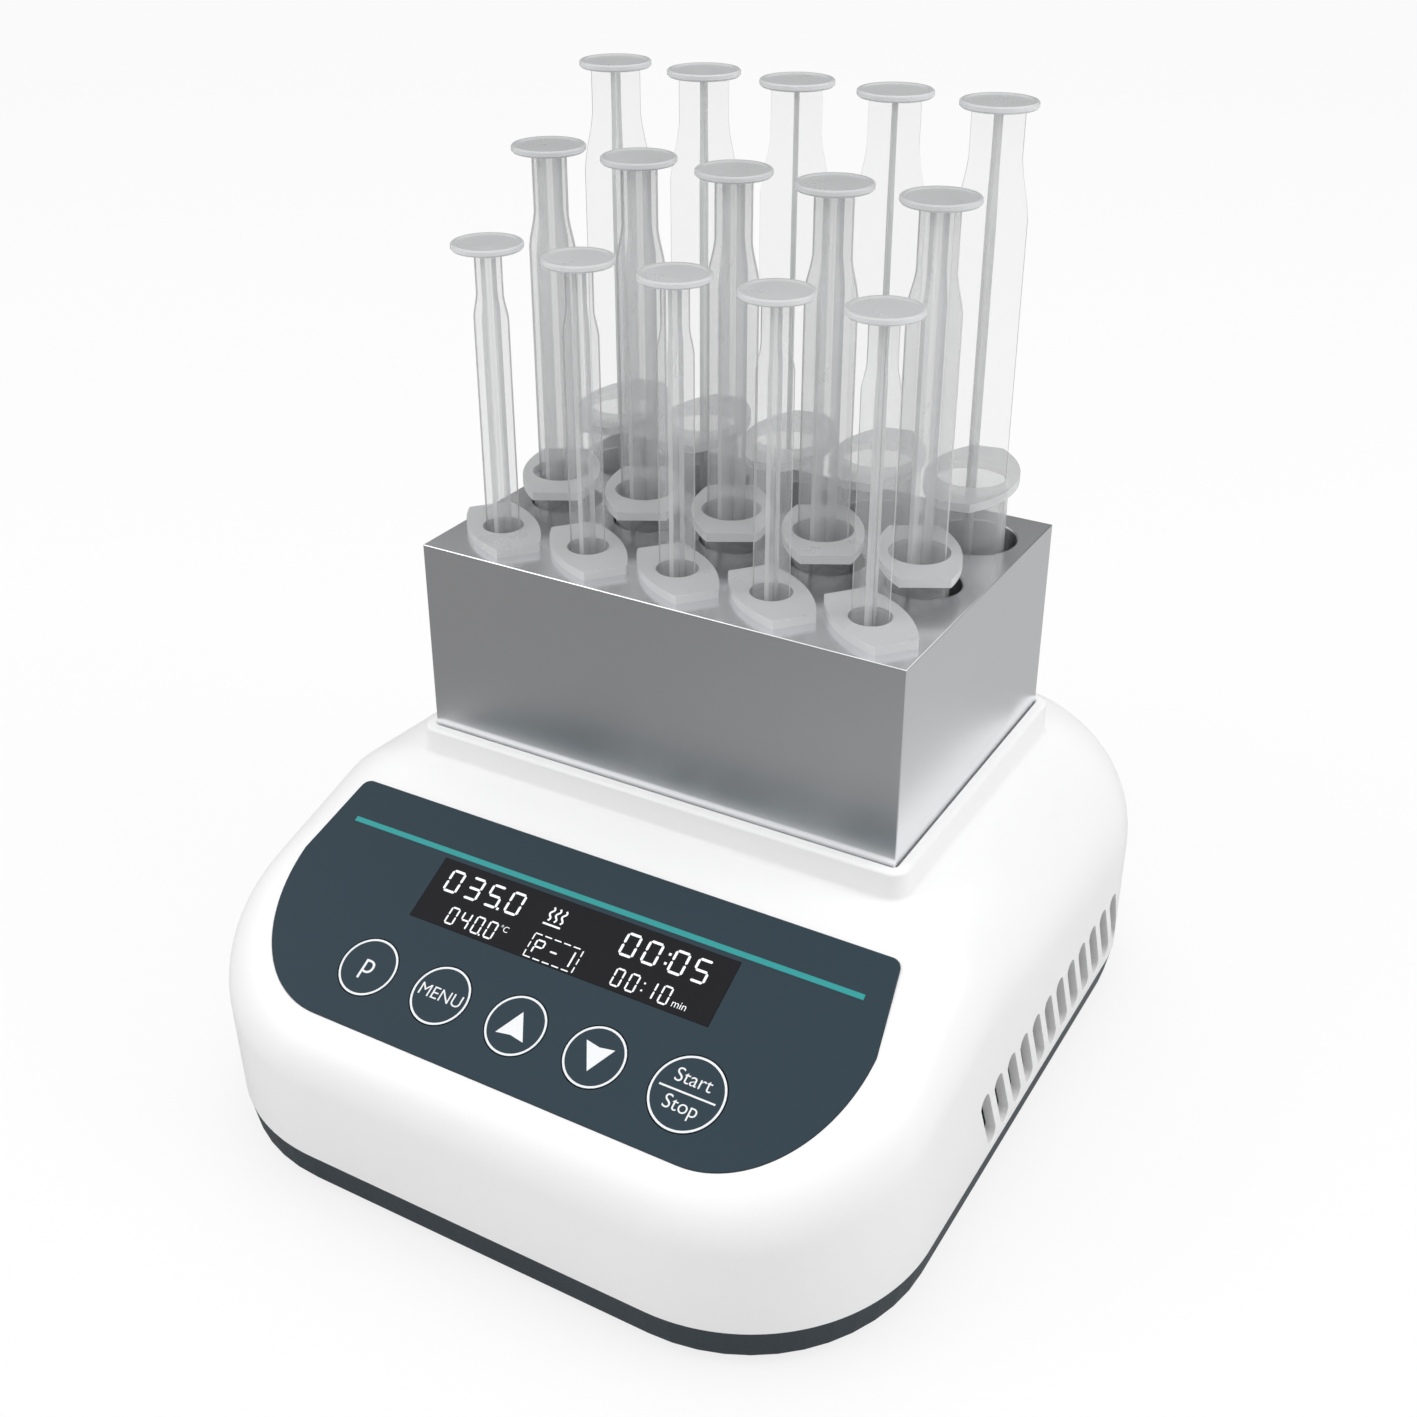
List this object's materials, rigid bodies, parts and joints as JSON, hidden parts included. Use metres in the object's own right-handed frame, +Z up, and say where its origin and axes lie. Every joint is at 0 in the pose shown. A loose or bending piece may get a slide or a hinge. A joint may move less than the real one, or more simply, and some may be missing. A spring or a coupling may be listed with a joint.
{
  "type": "dry block heater",
  "caption": "Bench heater with a sloped control panel and an aluminium block that holds upright syringes in three rows.",
  "frame": {"origin": "on the floor under the middle of the base", "axes": "+Z up, +Y to the rear, +X to the right seen from the control panel"},
  "size_m": [0.2186, 0.2496, 0.282],
  "materials": {
    "housing_white": "satin moulded shell",
    "tray_slate": "fine moulded texture",
    "dark_rubber": "moulded rubber",
    "screw_steel": "zinc plated",
    "overlay_slate": "printed film, fine texture",
    "display_black": "smoked clear window",
    "component_black": "moulded",
    "board_green": "solder mask",
    "standoff_brass": "turned",
    "well_aluminium": "cast and milled",
    "pad_silicone": "silicone sheet",
    "jacket_wool": "pressed ceramic wool",
    "probe_steel": "drawn tube",
    "inlet_black": "moulded",
    "pin_nickel": "nickel plated",
    "rocker_black": "polished",
    "block_aluminium": "satin anodised",
    "barrel_clear": "clear moulded",
    "plunger_frosted": "frosted moulded"
  },
  "bodies": {
    "housing": {"top_housing": "housing_white", "base_tray": "tray_slate", "rubber_feet": "dark_rubber", "housing_screws": "screw_steel", "control_overlay": "overlay_slate", "display_window": "display_black", "display_module": "component_black", "key_switches": "component_black", "control_board": "board_green", "machine_screws": "screw_steel", "power_board": "board_green", "power_components": "component_black", "board_standoffs": "standoff_brass", "heater_well": "well_aluminium", "well_screws": "screw_steel", "heating_pad": "pad_silicone", "insulation_jacket": "jacket_wool", "temperature_probe": "probe_steel", "thermal_cutout": "component_black", "power_inlet": "inlet_black", "inlet_pins": "pin_nickel", "switch_housing": "inlet_black"},
    "key_program": {"key_program": "overlay_slate"},
    "key_menu": {"key_menu": "overlay_slate"},
    "key_up": {"key_up": "overlay_slate"},
    "key_down": {"key_down": "overlay_slate"},
    "key_start_stop": {"key_start_stop": "overlay_slate"},
    "power_rocker": {"power_rocker": "rocker_black"},
    "fuse_drawer": {"fuse_drawer": "inlet_black"},
    "heat_block": {"heat_block": "block_aluminium"},
    "small_barrel_1": {"small_barrel_1": "barrel_clear"},
    "small_plunger_1": {"small_plunger_1": "plunger_frosted"},
    "small_barrel_2": {"small_barrel_2": "barrel_clear"},
    "small_plunger_2": {"small_plunger_2": "plunger_frosted"},
    "small_barrel_3": {"small_barrel_3": "barrel_clear"},
    "small_plunger_3": {"small_plunger_3": "plunger_frosted"},
    "small_barrel_4": {"small_barrel_4": "barrel_clear"},
    "small_plunger_4": {"small_plunger_4": "plunger_frosted"},
    "small_barrel_5": {"small_barrel_5": "barrel_clear"},
    "small_plunger_5": {"small_plunger_5": "plunger_frosted"},
    "medium_barrel_1": {"medium_barrel_1": "barrel_clear"},
    "medium_plunger_1": {"medium_plunger_1": "plunger_frosted"},
    "medium_barrel_2": {"medium_barrel_2": "barrel_clear"},
    "medium_plunger_2": {"medium_plunger_2": "plunger_frosted"},
    "medium_barrel_3": {"medium_barrel_3": "barrel_clear"},
    "medium_plunger_3": {"medium_plunger_3": "plunger_frosted"},
    "medium_barrel_4": {"medium_barrel_4": "barrel_clear"},
    "medium_plunger_4": {"medium_plunger_4": "plunger_frosted"},
    "medium_barrel_5": {"medium_barrel_5": "barrel_clear"},
    "medium_plunger_5": {"medium_plunger_5": "plunger_frosted"},
    "large_barrel_1": {"large_barrel_1": "barrel_clear"},
    "large_plunger_1": {"large_plunger_1": "plunger_frosted"},
    "large_barrel_2": {"large_barrel_2": "barrel_clear"},
    "large_plunger_2": {"large_plunger_2": "plunger_frosted"},
    "large_barrel_3": {"large_barrel_3": "barrel_clear"},
    "large_plunger_3": {"large_plunger_3": "plunger_frosted"},
    "large_barrel_4": {"large_barrel_4": "barrel_clear"},
    "large_plunger_4": {"large_plunger_4": "plunger_frosted"},
    "large_barrel_5": {"large_barrel_5": "barrel_clear"},
    "large_plunger_5": {"large_plunger_5": "plunger_frosted"}
  },
  "joints": [
    {"name": "key_program_press", "type": "slide", "parent": "housing", "child": "key_program", "axis": [0, 0.4384, -0.8988], "range_m": [0, 0.0004], "stiffness_N_per_m": 400, "springref_m": -0.0004},
    {"name": "key_menu_press", "type": "slide", "parent": "housing", "child": "key_menu", "axis": [0, 0.4384, -0.8988], "range_m": [0, 0.0004], "stiffness_N_per_m": 400, "springref_m": -0.0004},
    {"name": "key_up_press", "type": "slide", "parent": "housing", "child": "key_up", "axis": [0, 0.4384, -0.8988], "range_m": [0, 0.0004], "stiffness_N_per_m": 400, "springref_m": -0.0004},
    {"name": "key_down_press", "type": "slide", "parent": "housing", "child": "key_down", "axis": [0, 0.4384, -0.8988], "range_m": [0, 0.0004], "stiffness_N_per_m": 400, "springref_m": -0.0004},
    {"name": "key_start_stop_press", "type": "slide", "parent": "housing", "child": "key_start_stop", "axis": [0, 0.4384, -0.8988], "range_m": [0, 0.0004], "stiffness_N_per_m": 400, "springref_m": -0.0004},
    {"name": "rocker_tilt", "type": "hinge", "parent": "housing", "child": "power_rocker", "pos_m": [0.026, 0.1174, 0.0397], "axis": [1, 0, 0], "range_deg": [-20, 0]},
    {"name": "fuse_drawer_slide", "type": "slide", "parent": "housing", "child": "fuse_drawer", "axis": [0, 1, 0], "range_m": [0, 0.016]},
    {"name": "block_lift", "type": "slide", "parent": "housing", "child": "heat_block", "axis": [0, 0, 1], "range_m": [0, 0.05]},
    {"name": "small_barrel_1_lift", "type": "slide", "parent": "heat_block", "child": "small_barrel_1", "axis": [0, 0, 1], "range_m": [0, 0.08]},
    {"name": "small_plunger_1_stroke", "type": "slide", "parent": "small_barrel_1", "child": "small_plunger_1", "axis": [0, 0, 1], "range_m": [-0.049, 0]},
    {"name": "small_barrel_2_lift", "type": "slide", "parent": "heat_block", "child": "small_barrel_2", "axis": [0, 0, 1], "range_m": [0, 0.08]},
    {"name": "small_plunger_2_stroke", "type": "slide", "parent": "small_barrel_2", "child": "small_plunger_2", "axis": [0, 0, 1], "range_m": [-0.049, 0]},
    {"name": "small_barrel_3_lift", "type": "slide", "parent": "heat_block", "child": "small_barrel_3", "axis": [0, 0, 1], "range_m": [0, 0.08]},
    {"name": "small_plunger_3_stroke", "type": "slide", "parent": "small_barrel_3", "child": "small_plunger_3", "axis": [0, 0, 1], "range_m": [-0.049, 0]},
    {"name": "small_barrel_4_lift", "type": "slide", "parent": "heat_block", "child": "small_barrel_4", "axis": [0, 0, 1], "range_m": [0, 0.08]},
    {"name": "small_plunger_4_stroke", "type": "slide", "parent": "small_barrel_4", "child": "small_plunger_4", "axis": [0, 0, 1], "range_m": [-0.049, 0]},
    {"name": "small_barrel_5_lift", "type": "slide", "parent": "heat_block", "child": "small_barrel_5", "axis": [0, 0, 1], "range_m": [0, 0.08]},
    {"name": "small_plunger_5_stroke", "type": "slide", "parent": "small_barrel_5", "child": "small_plunger_5", "axis": [0, 0, 1], "range_m": [-0.049, 0]},
    {"name": "medium_barrel_1_lift", "type": "slide", "parent": "heat_block", "child": "medium_barrel_1", "axis": [0, 0, 1], "range_m": [0, 0.09]},
    {"name": "medium_plunger_1_stroke", "type": "slide", "parent": "medium_barrel_1", "child": "medium_plunger_1", "axis": [0, 0, 1], "range_m": [-0.061, 0]},
    {"name": "medium_barrel_2_lift", "type": "slide", "parent": "heat_block", "child": "medium_barrel_2", "axis": [0, 0, 1], "range_m": [0, 0.09]},
    {"name": "medium_plunger_2_stroke", "type": "slide", "parent": "medium_barrel_2", "child": "medium_plunger_2", "axis": [0, 0, 1], "range_m": [-0.061, 0]},
    {"name": "medium_barrel_3_lift", "type": "slide", "parent": "heat_block", "child": "medium_barrel_3", "axis": [0, 0, 1], "range_m": [0, 0.09]},
    {"name": "medium_plunger_3_stroke", "type": "slide", "parent": "medium_barrel_3", "child": "medium_plunger_3", "axis": [0, 0, 1], "range_m": [-0.061, 0]},
    {"name": "medium_barrel_4_lift", "type": "slide", "parent": "heat_block", "child": "medium_barrel_4", "axis": [0, 0, 1], "range_m": [0, 0.09]},
    {"name": "medium_plunger_4_stroke", "type": "slide", "parent": "medium_barrel_4", "child": "medium_plunger_4", "axis": [0, 0, 1], "range_m": [-0.061, 0]},
    {"name": "medium_barrel_5_lift", "type": "slide", "parent": "heat_block", "child": "medium_barrel_5", "axis": [0, 0, 1], "range_m": [0, 0.09]},
    {"name": "medium_plunger_5_stroke", "type": "slide", "parent": "medium_barrel_5", "child": "medium_plunger_5", "axis": [0, 0, 1], "range_m": [-0.061, 0]},
    {"name": "large_barrel_1_lift", "type": "slide", "parent": "heat_block", "child": "large_barrel_1", "axis": [0, 0, 1], "range_m": [0, 0.09]},
    {"name": "large_plunger_1_stroke", "type": "slide", "parent": "large_barrel_1", "child": "large_plunger_1", "axis": [0, 0, 1], "range_m": [-0.052, 0]},
    {"name": "large_barrel_2_lift", "type": "slide", "parent": "heat_block", "child": "large_barrel_2", "axis": [0, 0, 1], "range_m": [0, 0.09]},
    {"name": "large_plunger_2_stroke", "type": "slide", "parent": "large_barrel_2", "child": "large_plunger_2", "axis": [0, 0, 1], "range_m": [-0.052, 0]},
    {"name": "large_barrel_3_lift", "type": "slide", "parent": "heat_block", "child": "large_barrel_3", "axis": [0, 0, 1], "range_m": [0, 0.09]},
    {"name": "large_plunger_3_stroke", "type": "slide", "parent": "large_barrel_3", "child": "large_plunger_3", "axis": [0, 0, 1], "range_m": [-0.052, 0]},
    {"name": "large_barrel_4_lift", "type": "slide", "parent": "heat_block", "child": "large_barrel_4", "axis": [0, 0, 1], "range_m": [0, 0.09]},
    {"name": "large_plunger_4_stroke", "type": "slide", "parent": "large_barrel_4", "child": "large_plunger_4", "axis": [0, 0, 1], "range_m": [-0.052, 0]},
    {"name": "large_barrel_5_lift", "type": "slide", "parent": "heat_block", "child": "large_barrel_5", "axis": [0, 0, 1], "range_m": [0, 0.09]},
    {"name": "large_plunger_5_stroke", "type": "slide", "parent": "large_barrel_5", "child": "large_plunger_5", "axis": [0, 0, 1], "range_m": [-0.052, 0]}
  ]
}
